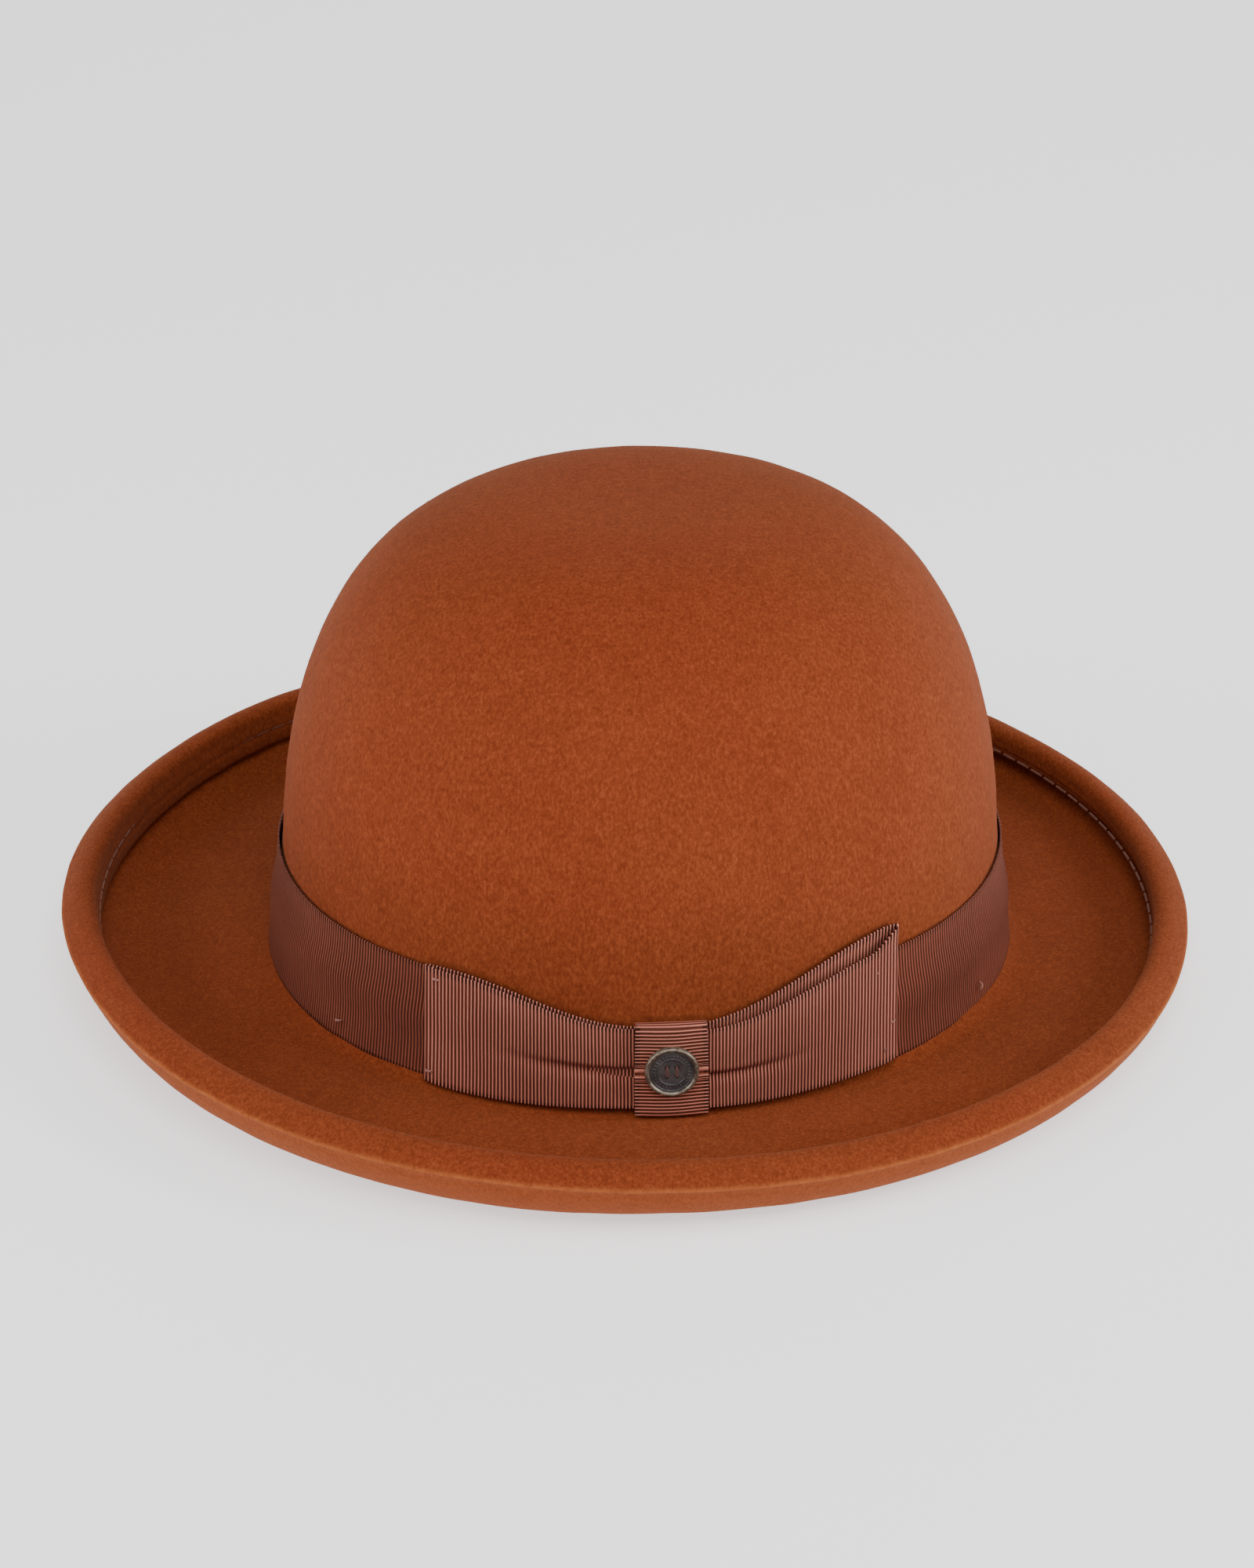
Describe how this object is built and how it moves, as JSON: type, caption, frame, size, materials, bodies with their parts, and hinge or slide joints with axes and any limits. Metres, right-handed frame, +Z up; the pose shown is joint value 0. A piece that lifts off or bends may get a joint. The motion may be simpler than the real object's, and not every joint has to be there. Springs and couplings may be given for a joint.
{
  "type": "bowler hat",
  "caption": "Felt bowler hat with a round crown, a curled brim with a turned-in edge, a grosgrain ribbon band with a flat bow and button, and a leather sweatband and satin lining.",
  "frame": {"origin": "centre of the brim's oval, on the plane that the flat of the brim rests on", "axes": "+Z up through the crown, +X along the long axis of the head oval towards the wearer's back, -Y towards the wearer's left, where the bow is"},
  "size_m": [0.3078, 0.277, 0.136],
  "materials": {
    "wool_felt": "stiffened wool felt, short nap",
    "spring_wire": "drawn spring steel wire",
    "ferrule_brass": "crimped brass sleeve",
    "felt_thread": "matching sewing thread",
    "grosgrain": "ribbed grosgrain ribbon",
    "button_metal": "aged metal with a rubbed rim",
    "button_thread": "twisted thread",
    "tack_thread": "sewing thread",
    "leather": "smooth leather",
    "reed_cover": "cloth-covered reed",
    "band_thread": "waxed thread",
    "narrow_ribbon": "narrow satin ribbon",
    "satin": "satin lining",
    "piping_satin": "corded satin piping",
    "label_cloth": "woven label, blank",
    "tab_paper": "coated cloth tab, blank"
  },
  "bodies": {
    "root": {"felt_body": "wool_felt", "brim_wire": "spring_wire", "brim_wire_ferrule": "ferrule_brass", "brim_edge_stitching": "felt_thread", "hat_band": "grosgrain", "bow_left_loop": "grosgrain", "bow_right_loop": "grosgrain", "bow_knot": "grosgrain", "button": "button_metal", "button_thread": "button_thread", "band_tacks": "tack_thread", "sweatband": "leather", "sweatband_reed": "reed_cover", "sweatband_stitching": "band_thread", "sweatband_bow": "narrow_ribbon", "lining_side": "satin", "lining_tip": "satin", "lining_piping": "piping_satin", "woven_label": "label_cloth", "size_tab": "tab_paper"}
  },
  "joints": []
}
